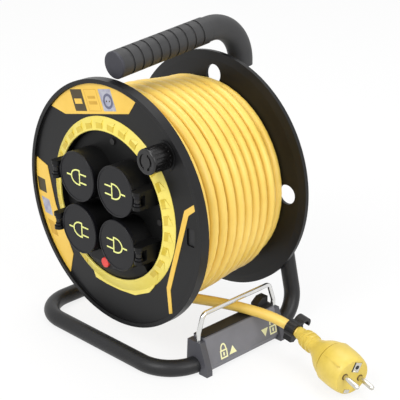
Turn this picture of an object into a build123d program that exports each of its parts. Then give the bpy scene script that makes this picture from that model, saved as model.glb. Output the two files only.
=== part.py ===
"""Open-frame extension cord reel with four covered sockets, modelled in millimetres.

+Z is up, the sockets face -Y and +X is on the right of someone who looks at the sockets.
Z = 0 is the floor, X = 0 is the drum axis and Y = 0 is half way along the depth.
Depths of the drum's pieces count backwards, towards +Y, from the front flange's rim.
"""
import os
from math import cos, hypot, pi, radians, sin, tan

from build123d import *

os.makedirs("parts", exist_ok=True)

# ---- Driving dimensions: sockets -----------------------------------------------------
RECESS_R = 19.5           # round recess of a standard socket
SOCKET_WALL = 4.7
SOCKET_R = RECESS_R + SOCKET_WALL
RECESS_DEPTH = 17.5
COVER_R = SOCKET_R + 0.3
COVER_FRONT = -18.0
COVER_T = 4.0
COVER_GAP = 0.3
SOCKET_X = COVER_R + 2.5  # half the spacing across
SOCKET_Z = COVER_R + 2.0  # half the spacing up and down
PLATE_FRONT = 5.5         # depth of the socket plate's face in the dish
CHAMBER_R = 14.0
CHAMBER_BACK = 22.0
PIN_SPACING = 19.0
CONTACT_R = 2.75
HINGE_OUT = COVER_R + 6.0  # hinge pin, outwards from the socket's centre
HINGE_DEPTH = -17.5
HINGE_PIN_R = 1.5
EAR_HALF = 8.5            # half length of the hinge block along the pin
EAR_R = 4.5               # rounding of the hinge block about the pin
SLOT_HALF = 5.2
KNUCKLE_R = 3.4

# ---- Driving dimensions: drum, from the dish that holds the sockets outwards -----------
RUNNING_GAP = 0.05        # radial clearance of a turning fit
DISH_GAP = 0.8            # between the hinge blocks' corners and the dish wall
DISH_R = round(hypot(SOCKET_X + HINGE_OUT + EAR_R, SOCKET_Z + EAR_HALF) + DISH_GAP, 1)
DISH_DEPTH = 8.0
SEAT_FRONT = -0.6         # front edge of the cone that carries the trim ring
SEAT_WIDTH = 11.5
SEAT_R = DISH_R + SEAT_WIDTH
FACE_WIDTH = 36.5         # flange from the cone to its outer edge
FLANGE_R = SEAT_R + FACE_WIDTH
RIM_Y = -80.0             # front edge of the front flange
RIM_WIDTH = 4.0
FACE_DEPTH = 3.0          # flange face, behind the rim
WEB = 3.0                 # moulded wall of the flanges
FLANGE_DEPTH = 10.0       # rim to the first turn of cord
CORE_WALL = 3.0
CORE_R = round(hypot(SOCKET_X, SOCKET_Z) + CHAMBER_R + CORE_WALL + 1.2)
WINDING_WIDTH = 124.0
WINDING_R = CORE_R + 35.0  # four layers of cord
REAR_RIM_DEPTH = 4.0      # how far the rear rim curls back behind the web
HOLE_R = 9.75             # four round holes in the rear flange
HOLE_CIRCLE_R = FLANGE_R - 22.0
WINDOW_X = FLANGE_R - 16.3
RIB_COUNT = 16
RIB_WIDTH = 2.0
HUB_R = 14.0
HUB_FRONT = 74.0          # depth of the hub's front end inside the core
HUB_BACK_STEP = 4.0       # hub beyond the rear web
AXLE_R = 6.0
BUSH_WALL = 2.4
BUSH_LENGTH = 14.0
SCREW_R = 2.0
SCREW_CIRCLE_R = CORE_R - 11.0
PLATE_SCREW_R = 1.5
PLATE_SCREW_CIRCLE_R = DISH_R - 10.0
INLET_DEPTH = FLANGE_DEPTH + 11.0

# ---- Driving dimensions: frame -------------------------------------------------------
GROUND_GAP = 22.0         # flange to floor
AXLE_Z = FLANGE_R + GROUND_GAP
TUBE_R = 8.0              # bent steel tube of the frame, outside radius
TUBE_WALL = 1.5
RAIL_X = 98.4             # centre lines of the side rails
FRONT_RAIL_Y = -100.0     # centre line of the front rail
RISER_Y = 71.0            # where the rails turn up behind the drum
RISER_TOP = (76.0, AXLE_Z - 34.0)  # X and Z where a riser turns in to the upright
UPRIGHT_Y = 92.0          # centre line of the upright
UPRIGHT_FOOT_Z = AXLE_Z - 46.0
JOIN_Z = AXLE_Z - 14.0    # height at which the risers meet the upright
SHOULDER_R = 35.0         # bend at the top of a riser
HEEL_R = 30.0             # bend from the riser to the rail
TOE_R = 37.0              # front corners of the floor loop
HANDLE_BEND_R = 40.0
HAND_GAP = 13.4           # handle centre line above the front flange
HANDLE_Z = AXLE_Z + FLANGE_R + HAND_GAP
HANDLE_RISE = 0.094       # rise of the handle towards the back, per mm
GRIP_R = 13.0
GRIP_GROOVE = 1.1
GRIP_FRONT_Y = -68.0
GRIP_RIBS = 10
GRIP_RIB_PITCH = 11.0
SLEEVE_R = 12.2
SLEEVE_DROP = 8.0         # sleeve below the handle bend

# ---- Driving dimensions: crank knob, reset button --------------------------------------
KNOB_ANGLE = 43.0
KNOB_CIRCLE_R = SEAT_R + FACE_WIDTH / 2 - 2.75
KNOB_R = 12.0
KNOB_FRONT = -20.0
KNOB_PIN_R = 3.0
COLLAR_T = 1.2            # low collar on the flange behind the knob
BUTTON_Z = 17.0 - DISH_R  # below the drum axis
BUTTON_R = 5.0
BUTTON_FRONT = -10.5
PANEL_FRONT = -8.5
BUTTON_TRAVEL = 2.0

# ---- Driving dimensions: cord guide on the right rail ----------------------------------
GUIDE_FRONT_Y = -68.5
GUIDE_BACK_Y = 38.5
END_T = 7.0               # thickness of the guide's end pieces
GUIDE_TOP_Z = 34.6
PAD_T = 0.7
END_TOP_Z = 32.0
GUIDE_WALL = 2.5
WIRE_R = 2.25
WIRE_X = 100.0
WIRE_TOP_Z = 57.5
WIRE_TRAVEL = 6.0

# ---- Driving dimensions: wiring behind the sockets --------------------------------------
TAIL_R = 1.0
BAR_T = 1.0
BAR_WIDTH = 5.0
LIVE_BAR = 22.0           # depths of the three bars
NEUTRAL_BAR = 24.5
EARTH_BAR = 27.0
SLEEVE_LENGTH = 12.0
PLUG_PIN_R = 2.4
BLOCK_DEPTH = 12.0
WIRE_PITCH = 7.0
WIRE_LEVEL = 33.0         # inner wires, below the drum axis
SHEATH_END = 44.0         # end of the sheath, below the drum axis
INNER_WIRE_R = 1.3

# ---- Driving dimensions: cord and plug --------------------------------------------------
CORD_R = 5.0
CLIP_WIDTH = 10.0
PLUG_R = 20.0

FITS = 0.3                # gap between pieces that move past each other


def front(depth, x=0.0, z=0.0):
    """Plane square to the drum axis at a depth behind the rim, seen from the front."""
    return Plane(origin=(x, RIM_Y + depth, AXLE_Z + z), x_dir=(1, 0, 0), z_dir=(0, -1, 0))


def section(x=0.0, z=0.0):
    """Plane through the drum axis: its x is the radius and its y the depth."""
    return Plane(origin=(x, RIM_Y, AXLE_Z + z))


def turning_axis(x=0.0, z=0.0):
    return Axis((x, 0, AXLE_Z + z), (0, 1, 0))


def outline(plane, *points):
    """Closed flat face through the points on a plane."""
    with BuildSketch(plane) as face:
        with BuildLine():
            Polyline(*points, close=True)
        make_face()
    return face.sketch


def ring(plane, outer, inner=0.0):
    """Flat disc or ring at the plane's origin."""
    with BuildSketch(plane) as face:
        Circle(outer)
        if inner:
            Circle(inner, mode=Mode.SUBTRACT)
    return face.sketch


def square_to(path, outer, inner=0.0):
    """Disc or ring across the start of a path."""
    return ring(Plane(origin=path @ 0, z_dir=path % 0), outer, inner)


def finish(builder, node):
    builder.part.label = node
    export_step(builder.part, f"parts/{node}.step")


def on_face(*spots):
    """Points on the flange face: angle in degrees, and share of the way from the cone to the rim."""
    points = []
    for angle, share in spots:
        radius = SEAT_R + share * FACE_WIDTH
        points.append((radius * cos(radians(angle)), radius * sin(radians(angle))))
    return points


DRUM_AXIS = turning_axis()
WINDING_BACK = FLANGE_DEPTH + WINDING_WIDTH
HUB_BACK = WINDING_BACK + WEB + HUB_BACK_STEP
SIDES = ((-1, 1), (1, 1), (-1, -1), (1, -1))
PLATE_SCREWS = (
    (0, PLATE_SCREW_CIRCLE_R), (-PLATE_SCREW_CIRCLE_R, 0), (PLATE_SCREW_CIRCLE_R, 0),
)


# ---- Frame ------------------------------------------------------------------------------
def handle_height(y):
    return HANDLE_Z + HANDLE_RISE * (y - GRIP_FRONT_Y)


def upright_path(foot_z):
    with BuildLine() as path:
        FilletPolyline(
            (0, UPRIGHT_Y, foot_z),
            (0, UPRIGHT_Y, handle_height(UPRIGHT_Y)),
            (0, GRIP_FRONT_Y, HANDLE_Z),
            radius=HANDLE_BEND_R,
        )
    return path.line


with BuildPart() as upright_tube:
    sweep(square_to(upright_path(UPRIGHT_FOOT_Z), TUBE_R, TUBE_R - TUBE_WALL),
          path=upright_path(UPRIGHT_FOOT_Z))
    axle_hole = Plane(origin=(0, UPRIGHT_Y, AXLE_Z), z_dir=(0, 1, 0))
    extrude(ring(axle_hole, AXLE_R + RUNNING_GAP), amount=2 * TUBE_R, both=True, mode=Mode.SUBTRACT)
finish(upright_tube, "upright_tube")


with BuildPart() as base_frame:
    riser_x, riser_z = RISER_TOP
    half = [
        (TUBE_R / 2, UPRIGHT_Y, JOIN_Z),
        (riser_x, RISER_Y, riser_z),
        (RAIL_X, RISER_Y, TUBE_R),
        (RAIL_X, FRONT_RAIL_Y, TUBE_R),
    ]
    other_half = [(-x, y, z) for x, y, z in reversed(half)]
    with BuildLine(mode=Mode.PRIVATE) as loop:
        FilletPolyline(
            *half, *other_half,
            radius=[SHOULDER_R, HEEL_R, TOE_R, TOE_R, HEEL_R, SHOULDER_R],
        )
    sweep(square_to(loop.line, TUBE_R, TUBE_R - TUBE_WALL), path=loop.line)
    upright = Plane(origin=(0, UPRIGHT_Y, UPRIGHT_FOOT_Z))
    extrude(ring(upright, TUBE_R), amount=3 * TUBE_R + JOIN_Z - UPRIGHT_FOOT_Z, mode=Mode.SUBTRACT)
finish(base_frame, "base_frame")


with BuildPart() as handle_grip:
    bend_foot_z = handle_height(UPRIGHT_Y) - HANDLE_BEND_R - SLEEVE_DROP
    sleeve_line = upright_path(bend_foot_z)
    sweep(square_to(sleeve_line, SLEEVE_R), path=sleeve_line)
    grip_length = GRIP_RIBS * GRIP_RIB_PITCH
    grip = Plane(origin=(0, GRIP_FRONT_Y, HANDLE_Z), x_dir=(1, 0, 0), z_dir=(0, 1, HANDLE_RISE))
    extrude(ring(grip, GRIP_R), amount=grip_length)
    for rib in range(1, GRIP_RIBS):
        groove = grip.offset(rib * GRIP_RIB_PITCH - GRIP_GROOVE)
        extrude(ring(groove, GRIP_R + 1, GRIP_R - GRIP_GROOVE), amount=2 * GRIP_GROOVE,
                mode=Mode.SUBTRACT)
    sweep(square_to(sleeve_line, TUBE_R), path=sleeve_line, mode=Mode.SUBTRACT)
finish(handle_grip, "handle_grip")


with BuildPart() as grip_end_cap:
    cap_back = Plane(origin=(0, GRIP_FRONT_Y, HANDLE_Z), x_dir=(1, 0, 0), z_dir=(0, -1, -HANDLE_RISE))
    extrude(ring(cap_back, GRIP_R), amount=3)
    fillet(grip_end_cap.faces().sort_by(Axis.Y)[0].edges(), 1.2)
    extrude(ring(cap_back, TUBE_R - TUBE_WALL), amount=-12)
finish(grip_end_cap, "grip_end_cap")


with BuildPart() as hub_bracket:
    bracket_face = Plane(origin=(0, UPRIGHT_Y - TUBE_R, AXLE_Z), x_dir=(1, 0, 0), z_dir=(0, -1, 0))
    with BuildSketch(bracket_face):
        Circle(12)
        with Locations((0, 14)):
            RectangleRounded(22, 34, 4)
        Circle(AXLE_R + RUNNING_GAP, mode=Mode.SUBTRACT)
    extrude(amount=3)
finish(hub_bracket, "hub_bracket")


# ---- Drum -------------------------------------------------------------------------------
with BuildPart() as front_flange:
    revolve(outline(
        section(),
        (FLANGE_R - RIM_WIDTH, 0), (FLANGE_R, 0), (FLANGE_R, FLANGE_DEPTH),
        (FLANGE_R - WEB, FLANGE_DEPTH), (FLANGE_R - WEB, FACE_DEPTH + WEB),
        (DISH_R + WEB, FACE_DEPTH + WEB), (DISH_R + WEB, FLANGE_DEPTH),
        (CORE_R - CORE_WALL, FLANGE_DEPTH), (CORE_R - CORE_WALL, DISH_DEPTH),
        (DISH_R, DISH_DEPTH), (DISH_R, SEAT_FRONT), (DISH_R + 1, SEAT_FRONT),
        (SEAT_R, FACE_DEPTH), (FLANGE_R - RIM_WIDTH, FACE_DEPTH),
    ), axis=DRUM_AXIS)
    rib_middle = (FLANGE_R + DISH_R) / 2
    with BuildSketch(front(FLANGE_DEPTH)):
        with PolarLocations(rib_middle, RIB_COUNT, start_angle=11.25):
            Rectangle(FLANGE_R - DISH_R - 2 * WEB + 1, RIB_WIDTH)
    extrude(amount=FLANGE_DEPTH - FACE_DEPTH - WEB)
    # low collar behind the crank knob
    with BuildSketch(front(FACE_DEPTH)):
        with PolarLocations(KNOB_CIRCLE_R, 1, start_angle=KNOB_ANGLE):
            Circle(KNOB_R + 2)
    extrude(amount=COLLAR_T)
    # window for the cord's end, and the crank pin's hole
    with BuildSketch(front(0)):
        with Locations((WINDOW_X, -1.5)):
            RectangleRounded(9.5, 17, 2)
        with PolarLocations(KNOB_CIRCLE_R, 1, start_angle=KNOB_ANGLE):
            Circle(KNOB_PIN_R)
        with Locations(*PLATE_SCREWS):
            Circle(PLATE_SCREW_R)
    extrude(amount=-2 * FLANGE_DEPTH, mode=Mode.SUBTRACT)
finish(front_flange, "front_flange")


with BuildPart() as rear_flange:
    back = WINDING_BACK + WEB
    revolve(outline(
        section(),
        (HUB_R, WINDING_BACK), (WINDING_R + 3, WINDING_BACK), (FLANGE_R - 8, WINDING_BACK + 1.5),
        (FLANGE_R, WINDING_BACK + 3), (FLANGE_R, back + REAR_RIM_DEPTH),
        (FLANGE_R - WEB, back + REAR_RIM_DEPTH), (FLANGE_R - WEB, back + 2.2),
        (FLANGE_R - 9, back + 1.4), (WINDING_R + 2, back), (HUB_R, back),
    ), axis=DRUM_AXIS)
    with BuildSketch(front(WINDING_BACK)):
        with PolarLocations(HOLE_CIRCLE_R, 4):
            Circle(HOLE_R)
        with PolarLocations(SCREW_CIRCLE_R, 4, start_angle=45):
            Circle(SCREW_R + RUNNING_GAP)
    extrude(amount=2 * WEB, both=True, mode=Mode.SUBTRACT)
finish(rear_flange, "rear_flange")


with BuildPart() as drum_core:
    inner = CORE_R - CORE_WALL
    revolve(outline(section(), (inner, FLANGE_DEPTH), (CORE_R, FLANGE_DEPTH),
                    (CORE_R, WINDING_BACK), (inner, WINDING_BACK)), axis=DRUM_AXIS)
    revolve(outline(section(), (AXLE_R + BUSH_WALL, HUB_FRONT), (HUB_R, HUB_FRONT),
                    (HUB_R, HUB_BACK), (AXLE_R + BUSH_WALL, HUB_BACK)), axis=DRUM_AXIS)
    for web_front in (HUB_FRONT, WINDING_BACK - WEB):
        extrude(ring(front(web_front), inner + 0.5, HUB_R - 0.5), amount=-WEB)
    with BuildSketch(front(WINDING_BACK)):
        with PolarLocations(SCREW_CIRCLE_R, 4, start_angle=45):
            Circle(SCREW_R * 2.4)
    extrude(amount=14)
    with BuildSketch(front(WINDING_BACK)):
        with PolarLocations(SCREW_CIRCLE_R, 4, start_angle=45):
            Circle(SCREW_R)
    extrude(amount=13, mode=Mode.SUBTRACT)
    # hole for the cord's inner end
    inlet = Plane(origin=(0, RIM_Y + INLET_DEPTH, AXLE_Z), z_dir=(0, 0, -1))
    extrude(ring(inlet, 7.5), amount=CORE_R + 1, mode=Mode.SUBTRACT)
finish(drum_core, "drum_core")


with BuildPart() as cord_inlet:
    collar_at = CORE_R - CORE_WALL - 3.2
    extrude(ring(inlet.offset(collar_at), 8.7, CORD_R), amount=2)
    extrude(ring(inlet.offset(collar_at), 7.5, CORD_R), amount=3 + CORE_WALL - 0.6)
finish(cord_inlet, "cord_inlet")


with BuildPart() as hub_bushes:
    for bush_front in (HUB_FRONT, HUB_BACK - BUSH_LENGTH):
        extrude(ring(front(bush_front), AXLE_R + BUSH_WALL, AXLE_R + RUNNING_GAP),
                amount=-BUSH_LENGTH)
finish(hub_bushes, "hub_bushes")


with BuildPart() as core_screws:
    screw_head = WINDING_BACK + WEB
    with BuildSketch(front(screw_head)):
        with PolarLocations(SCREW_CIRCLE_R, 4, start_angle=45):
            Circle(SCREW_R * 2)
    extrude(amount=-2.2)
    with BuildSketch(front(screw_head)):
        with PolarLocations(SCREW_CIRCLE_R, 4, start_angle=45):
            Circle(SCREW_R)
    extrude(amount=WEB + 12)
finish(core_screws, "core_screws")


# ---- Axle: a bolt through the hub and the upright ------------------------------------------
with BuildPart() as axle_bolt:
    with BuildSketch(front(HUB_FRONT - FITS)):
        RegularPolygon(9.5, 6)
    extrude(amount=7)
    axle_end = UPRIGHT_Y + TUBE_R + 8 - RIM_Y
    extrude(ring(front(HUB_FRONT - FITS), AXLE_R), amount=HUB_FRONT - FITS - axle_end)
finish(axle_bolt, "axle_bolt")

with BuildPart() as axle_spacer:
    spacer_back = UPRIGHT_Y - TUBE_R - 3 - RIM_Y
    spacer_front = HUB_BACK + FITS
    extrude(ring(front(spacer_back), 10, AXLE_R + RUNNING_GAP), amount=spacer_back - spacer_front)
finish(axle_spacer, "axle_spacer")

with BuildPart() as axle_nut:
    nut_front = UPRIGHT_Y + TUBE_R - RIM_Y
    with BuildSketch(front(nut_front)):
        RegularPolygon(9.5, 6)
        Circle(AXLE_R, mode=Mode.SUBTRACT)
    extrude(amount=-7)
finish(axle_nut, "axle_nut")


# ---- Wound cord, outer shape of the turns ---------------------------------------------------
with BuildPart() as wound_cord:
    extrude(ring(front(FLANGE_DEPTH), WINDING_R, CORE_R), amount=-WINDING_WIDTH)
finish(wound_cord, "wound_cord")


# ---- Face of the drum: trim ring, label plates ----------------------------------------------
def seat_depth(radius):
    """Depth of the cone that carries the trim ring."""
    slope = (FACE_DEPTH - SEAT_FRONT) / (SEAT_R - DISH_R - 1)
    return SEAT_FRONT + slope * (radius - DISH_R - 1)


with BuildPart() as trim_ring:
    ring_in, ring_out = DISH_R + 1, SEAT_R - 0.5
    revolve(outline(section(), (ring_in, seat_depth(ring_in)), (ring_in, seat_depth(ring_in) - 1.3),
                    (ring_out - 0.6, seat_depth(ring_out) - 1.3), (ring_out, seat_depth(ring_out))),
            axis=DRUM_AXIS)
    # plain banner below the sockets
    with BuildSketch(front(FACE_DEPTH)):
        with BuildLine():
            Polyline(*on_face((249.7, -0.156), (288.1, 0.091), (300.2, -0.053), (279.5, -0.621)), close=True)
        make_face()
        Circle(ring_out - 0.3, mode=Mode.SUBTRACT)
    extrude(amount=FACE_DEPTH - seat_depth(ring_out) + 0.9)
finish(trim_ring, "trim_ring")

LABEL_T = 0.4
LABEL_R = FLANGE_R - RIM_WIDTH - 0.5
with BuildPart() as top_label:
    with BuildSketch(front(FACE_DEPTH)):
        with BuildLine():
            Polyline(*on_face((73.9, 1.28), (71.7, 0.857), (74.7, 0.411), (131.3, 0.411),
                              (138.8, 0.955), (138.7, 2.27)), close=True)
        make_face()
        Circle(LABEL_R, mode=Mode.INTERSECT)
        Circle(SEAT_R + 1, mode=Mode.SUBTRACT)
    extrude(amount=LABEL_T)
finish(top_label, "top_label")

with BuildPart() as left_label:
    with BuildSketch(front(FACE_DEPTH)):
        with BuildLine():
            Polyline(*on_face((170.0, 1.19), (172.4, 0.42), (195.9, 0.219), (228.0, 0.331),
                              (238.0, 1.75), (225.0, 2.56)), close=True)
        make_face()
        Circle(LABEL_R, mode=Mode.INTERSECT)
        Circle(SEAT_R + 1, mode=Mode.SUBTRACT)
    extrude(amount=LABEL_T)
finish(left_label, "left_label")

with BuildPart() as side_stripe:
    with BuildSketch(front(FACE_DEPTH)):
        with BuildLine():
            Polyline(*on_face((16.9, 0.919), (14.4, 0.952), (10.6, 0.541), (-39.0, 0.41),
                              (-47.3, 0.882), (-49.6, 0.842), (-40.5, 0.287), (13.1, 0.427)), close=True)
        make_face()
        Circle(LABEL_R, mode=Mode.INTERSECT)
        Circle(SEAT_R + 1, mode=Mode.SUBTRACT)
    extrude(amount=LABEL_T)
finish(side_stripe, "side_stripe")


# ---- Socket plate with the raised reset panel -------------------------------------------------
PLATE_T = DISH_DEPTH - PLATE_FRONT
PLATE_R = DISH_R - 0.4
PANEL_WALL = 2.0


def panel_outline(plane, inset):
    """Area below the two lower sockets that the reset panel covers."""
    with BuildSketch(plane) as face:
        Circle(PLATE_R - inset)
        with Locations((10, BUTTON_Z - 45)):
            Rectangle(78 - 2 * inset, 112 - 2 * inset, mode=Mode.INTERSECT)
        with Locations((-SOCKET_X, -SOCKET_Z), (SOCKET_X, -SOCKET_Z)):
            Circle(SOCKET_R + 0.4 + inset, mode=Mode.SUBTRACT)
    return face.sketch


with BuildPart() as socket_plate:
    extrude(ring(front(DISH_DEPTH), PLATE_R), amount=PLATE_T)
    extrude(panel_outline(front(DISH_DEPTH), 0), amount=DISH_DEPTH - PANEL_FRONT)
    extrude(panel_outline(front(DISH_DEPTH), PANEL_WALL),
            amount=DISH_DEPTH - PANEL_FRONT - PANEL_WALL, mode=Mode.SUBTRACT)
    with BuildSketch(front(DISH_DEPTH)):
        with GridLocations(2 * SOCKET_X, 2 * SOCKET_Z, 2, 2):
            Circle(CHAMBER_R + 0.2)
        with Locations((0, BUTTON_Z)):
            Circle(BUTTON_R + FITS)
        with Locations(*PLATE_SCREWS):
            Circle(PLATE_SCREW_R)
    extrude(amount=DISH_DEPTH - PANEL_FRONT, mode=Mode.SUBTRACT)
finish(socket_plate, "socket_plate")

with BuildPart() as plate_screws:
    with BuildSketch(front(PLATE_FRONT)):
        with Locations(*PLATE_SCREWS):
            Circle(2 * PLATE_SCREW_R)
    extrude(amount=1.6)
    with BuildSketch(front(PLATE_FRONT)):
        with Locations(*PLATE_SCREWS):
            Circle(PLATE_SCREW_R)
    extrude(amount=-4)
finish(plate_screws, "plate_screws")


with BuildPart() as thermal_cutout:
    with BuildSketch(front(DISH_DEPTH - 0.2)):
        with Locations((0, BUTTON_Z - 3)):
            Rectangle(22, 14)
    extrude(amount=9)
    with BuildSketch(front(0)):
        with Locations((0, BUTTON_Z)):
            Circle(2.4)
    extrude(amount=6, both=True, mode=Mode.SUBTRACT)
finish(thermal_cutout, "thermal_cutout")

with BuildPart() as reset_button:
    extrude(ring(front(BUTTON_FRONT, 0, BUTTON_Z), BUTTON_R), amount=BUTTON_FRONT - PANEL_FRONT - PANEL_WALL)
    fillet(reset_button.faces().sort_by(Axis.Y)[0].edges(), 0.8)
    collar = PANEL_FRONT + PANEL_WALL
    extrude(ring(front(collar + FITS, 0, BUTTON_Z), BUTTON_R + 1.2), amount=-1.2)
    extrude(ring(front(collar, 0, BUTTON_Z), 2.0), amount=-7)
finish(reset_button, "reset_button")


# ---- Sockets, with their hinge blocks -----------------------------------------------------------
RECESS_FRONT = COVER_FRONT + COVER_T + COVER_GAP
RECESS_FLOOR = RECESS_FRONT + RECESS_DEPTH

for number, (side, level) in enumerate(SIDES, start=1):
    x, z = side * SOCKET_X, level * SOCKET_Z
    with BuildPart() as socket:
        extrude(ring(front(PLATE_FRONT, x, z), SOCKET_R), amount=PLATE_FRONT - RECESS_FRONT)
        # hinge block beside the cup, rounded about the pin and slotted for the cover's arm
        hinge = Plane(origin=(x + side * HINGE_OUT, RIM_Y + HINGE_DEPTH, AXLE_Z + z))
        block_in = SOCKET_R - 4
        block_out = HINGE_OUT + EAR_R
        with BuildSketch(front(PLATE_FRONT, x, z)):
            with Locations((side * (block_in + block_out) / 2, 0)):
                Rectangle(block_out - block_in, 2 * EAR_HALF)
        extrude(amount=PLATE_FRONT - RECESS_FRONT)
        with BuildSketch(front(RECESS_FRONT, x, z)):
            with Locations((side * HINGE_OUT, 0)):
                Rectangle(2 * EAR_R, 2 * EAR_HALF)
        extrude(amount=RECESS_FRONT - HINGE_DEPTH)
        extrude(ring(hinge, EAR_R), amount=EAR_HALF, both=True)
        slot_in = COVER_R + 0.8 - EAR_R / 2
        with BuildSketch(front(HINGE_DEPTH - EAR_R - 1, x, z)):
            with Locations((side * (slot_in + block_out + 1) / 2, 0)):
                Rectangle(block_out + 1 - slot_in, 2 * SLOT_HALF)
        extrude(amount=-2 * EAR_R - 2, mode=Mode.SUBTRACT)
        extrude(ring(front(RECESS_FLOOR, x, z), RECESS_R), amount=RECESS_DEPTH + 1, mode=Mode.SUBTRACT)
        extrude(ring(front(PLATE_FRONT, x, z), CHAMBER_R), amount=PLATE_FRONT - CHAMBER_BACK)
        with BuildSketch(front(CHAMBER_BACK - 2, x, z)):
            with GridLocations(PIN_SPACING, 1, 2, 1):
                Circle(CONTACT_R)
        extrude(amount=CHAMBER_BACK, mode=Mode.SUBTRACT)
        with BuildSketch(front(CHAMBER_BACK, x, z)):
            with GridLocations(PIN_SPACING / 2, 1, 3, 1):
                Circle(TAIL_R)
        extrude(amount=CHAMBER_BACK, mode=Mode.SUBTRACT)
        extrude(ring(hinge, HINGE_PIN_R), amount=EAR_HALF - 0.5, both=True, mode=Mode.SUBTRACT)
    finish(socket, f"socket_{number}")

    with BuildPart() as cover:
        extrude(ring(front(COVER_FRONT + COVER_T, x, z), COVER_R), amount=COVER_T)
        fillet(cover.faces().sort_by(Axis.Y)[0].edges(), 0.8)
        # fine raised rim round the cover's front
        extrude(ring(front(COVER_FRONT, x, z), COVER_R - 1.8), amount=-0.4, mode=Mode.SUBTRACT)
        arm_in, arm_out = COVER_R - 3, HINGE_OUT
        with BuildSketch(front(COVER_FRONT + COVER_T, x, z)):
            with Locations((side * (arm_in + arm_out) / 2, 0)):
                Rectangle(arm_out - arm_in, 2 * (SLOT_HALF - FITS))
        extrude(amount=2.6)
        extrude(ring(hinge, KNUCKLE_R), amount=SLOT_HALF - FITS, both=True)
        extrude(ring(hinge, KNUCKLE_R + 0.4), amount=2.6, both=True, mode=Mode.SUBTRACT)
        extrude(ring(hinge, HINGE_PIN_R + RUNNING_GAP), amount=EAR_HALF, both=True, mode=Mode.SUBTRACT)
    finish(cover, f"cover_{number}")

    with BuildPart() as earth_clip:
        with BuildSketch(front(RECESS_FLOOR, x, z)):
            Rectangle(4, 2 * RECESS_R - 1.0)
        extrude(amount=0.8)
        with BuildSketch(front(RECESS_FLOOR, x, z)):
            with GridLocations(1, 2 * RECESS_R - 1.8, 1, 2):
                Rectangle(4, 0.8)
        extrude(amount=12)
        extrude(ring(front(RECESS_FLOOR, x, z), TAIL_R), amount=RECESS_FLOOR - EARTH_BAR - BAR_T)
    finish(earth_clip, f"earth_clip_{number}")


def bar(depth, columns):
    """Two upright strips joined by a cross strip, with a hole for each contact's tail."""
    middle = sum(columns) / 2
    with BuildPart() as strip:
        with BuildSketch(front(depth + BAR_T)):
            for column in columns:
                with Locations((column, 0)):
                    Rectangle(BAR_WIDTH, 2 * SOCKET_Z + BAR_WIDTH)
            with Locations((middle, 0)):
                Rectangle(columns[1] - columns[0], BAR_WIDTH)
            for column in columns:
                with Locations((column, SOCKET_Z), (column, -SOCKET_Z)):
                    Circle(TAIL_R, mode=Mode.SUBTRACT)
        extrude(amount=BAR_T)
    return strip


half_pitch = PIN_SPACING / 2
finish(bar(LIVE_BAR, (-SOCKET_X - half_pitch, SOCKET_X - half_pitch)), "live_bar")
finish(bar(NEUTRAL_BAR, (-SOCKET_X + half_pitch, SOCKET_X + half_pitch)), "neutral_bar")
finish(bar(EARTH_BAR, (-SOCKET_X, SOCKET_X)), "earth_bar")

with BuildPart() as socket_contacts:
    sleeve_back = CHAMBER_BACK - 2
    for side, level in SIDES:
        for pole, bar_depth in ((-1, LIVE_BAR), (1, NEUTRAL_BAR)):
            pole_x = side * SOCKET_X + pole * half_pitch
            pole_z = level * SOCKET_Z
            extrude(ring(front(sleeve_back, pole_x, pole_z), CONTACT_R, PLUG_PIN_R + RUNNING_GAP),
                    amount=SLEEVE_LENGTH)
            extrude(ring(front(sleeve_back, pole_x, pole_z), CONTACT_R), amount=0.5)
            extrude(ring(front(sleeve_back, pole_x, pole_z), TAIL_R),
                    amount=sleeve_back - bar_depth - BAR_T)
finish(socket_contacts, "socket_contacts")

with BuildPart() as terminal_block:
    with BuildSketch(front(EARTH_BAR + BAR_T + BLOCK_DEPTH)):
        Rectangle(24, 14)
        with GridLocations(WIRE_PITCH, 1, 3, 1):
            Circle(INNER_WIRE_R, mode=Mode.SUBTRACT)
    extrude(amount=6)
    with BuildSketch(front(EARTH_BAR + BAR_T + BLOCK_DEPTH - 6)):
        Rectangle(24, 14)
    extrude(amount=BLOCK_DEPTH - 6)
finish(terminal_block, "terminal_block")

# The sheath ends just inside the core, and its three wires run on to the terminal block.
with BuildPart() as cord_tail:
    sheath = inlet.offset(SHEATH_END)
    extrude(ring(sheath, CORD_R), amount=CORE_R - SHEATH_END - 0.5)
finish(cord_tail, "cord_tail")

with BuildPart() as inner_wires:
    block_back = EARTH_BAR + BAR_T + BLOCK_DEPTH - 6
    for position in (-1, 0, 1):
        far_x = position * 2.9
        near_x = position * WIRE_PITCH
        with BuildLine(mode=Mode.PRIVATE) as run:
            FilletPolyline(
                (far_x, RIM_Y + INLET_DEPTH, AXLE_Z - SHEATH_END),
                (far_x, RIM_Y + INLET_DEPTH, AXLE_Z - WIRE_LEVEL),
                (far_x, RIM_Y + block_back + 16, AXLE_Z - WIRE_LEVEL),
                (near_x, RIM_Y + block_back + 16, AXLE_Z),
                (near_x, RIM_Y + block_back, AXLE_Z),
                radius=[9, 9, 9],
            )
        sweep(square_to(run.line, INNER_WIRE_R), path=run.line)
finish(inner_wires, "inner_wires")


def hinge_line(side, level):
    return Plane(origin=(side * (SOCKET_X + HINGE_OUT), RIM_Y + HINGE_DEPTH,
                         AXLE_Z + level * SOCKET_Z))


with BuildPart() as hinge_pins:
    for side, level in SIDES:
        extrude(ring(hinge_line(side, level), HINGE_PIN_R), amount=EAR_HALF - 0.5, both=True)
finish(hinge_pins, "hinge_pins")


SPRING_R = 2.5
SPRING_WIRE_R = 0.35
with BuildPart() as cover_springs:
    for side, level in SIDES:
        line = hinge_line(side, level).offset(-2.0)
        coil = Helix(pitch=0.95, height=3.8, radius=SPRING_R, center=line.origin, direction=(0, 0, 1))
        sweep(square_to(coil, SPRING_WIRE_R), path=coil, transition=Transition.ROUND)
finish(cover_springs, "cover_springs")


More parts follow.
